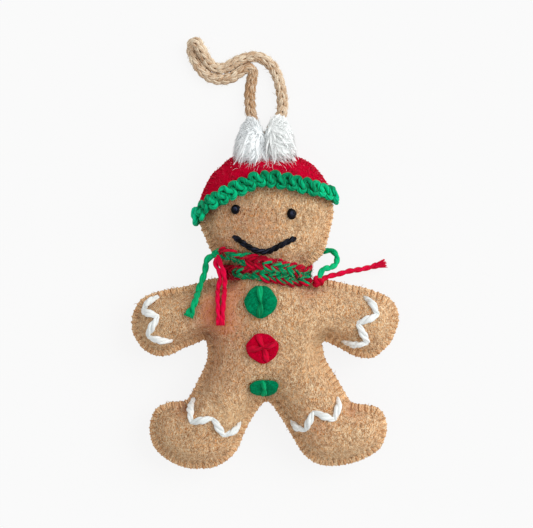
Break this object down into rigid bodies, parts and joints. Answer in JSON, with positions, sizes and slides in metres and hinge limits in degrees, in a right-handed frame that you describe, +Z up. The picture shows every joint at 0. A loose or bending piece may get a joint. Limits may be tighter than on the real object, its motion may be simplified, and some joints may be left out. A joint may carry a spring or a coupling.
{
  "type": "gingerbread man ornament",
  "caption": "Flat-cut, stuffed felt gingerbread man with felt hat, crocheted trim and scarf, white tufts, felt buttons, yarn icing and a crocheted hanging loop.",
  "frame": {"origin": "on the surface it lies on, under the middle of the figure's box from soles to tufts, without its hanging loop", "axes": "+Z up out of the belly, +Y towards the head, +X towards the viewer's right"},
  "size_m": [0.1074, 0.1729, 0.0312],
  "materials": {
    "tan_felt": "matte wool felt",
    "tan_thread": "matte thread",
    "red_felt": "matte wool felt",
    "green_felt": "matte wool felt",
    "green_yarn": "soft yarn",
    "red_yarn": "soft yarn",
    "scarf_yarn": "soft yarn",
    "black_yarn": "smooth yarn",
    "white_yarn": "soft yarn",
    "white_tuft": "fluffy fibre",
    "loop_yarn": "soft yarn",
    "fibre": "loose fibre"
  },
  "bodies": {
    "ornament": {"felt_front": "tan_felt", "felt_back": "tan_felt", "seam_thread": "tan_thread", "stuffing_head": "fibre", "stuffing_torso": "fibre", "stuffing_arm_left": "fibre", "stuffing_arm_right": "fibre", "stuffing_leg_left": "fibre", "stuffing_leg_right": "fibre", "hat_front": "red_felt", "hat_back": "red_felt", "hat_trim": "green_yarn", "tuft_left": "white_tuft", "tuft_right": "white_tuft", "tuft_stitch": "red_yarn", "eye_left": "black_yarn", "eye_right": "black_yarn", "mouth": "black_yarn", "scarf": "scarf_yarn", "scarf_knot_left": "green_yarn", "scarf_knot_right": "red_yarn", "tail_green_left": "green_yarn", "tail_red_left_outer": "red_yarn", "tail_red_left_inner": "red_yarn", "tail_green_right": "green_yarn", "tail_red_right": "red_yarn", "button_top": "green_felt", "button_middle": "red_felt", "button_bottom": "green_felt", "button_top_stitch": "green_yarn", "button_middle_stitch": "red_yarn", "button_bottom_stitch": "green_yarn", "icing_hand_left": "white_yarn", "icing_hand_right": "white_yarn", "icing_foot_left": "white_yarn", "icing_foot_right": "white_yarn", "loop_anchor": "red_yarn"},
    "loop": {"loop_knot": "loop_yarn", "hanging_loop": "loop_yarn"}
  },
  "joints": [
    {"name": "loop_sway", "type": "hinge", "parent": "ornament", "child": "loop", "pos_m": [-0.0005, 0.0612, 0.0036], "axis": [0, 0, 1], "range_deg": [-30, 30]}
  ]
}
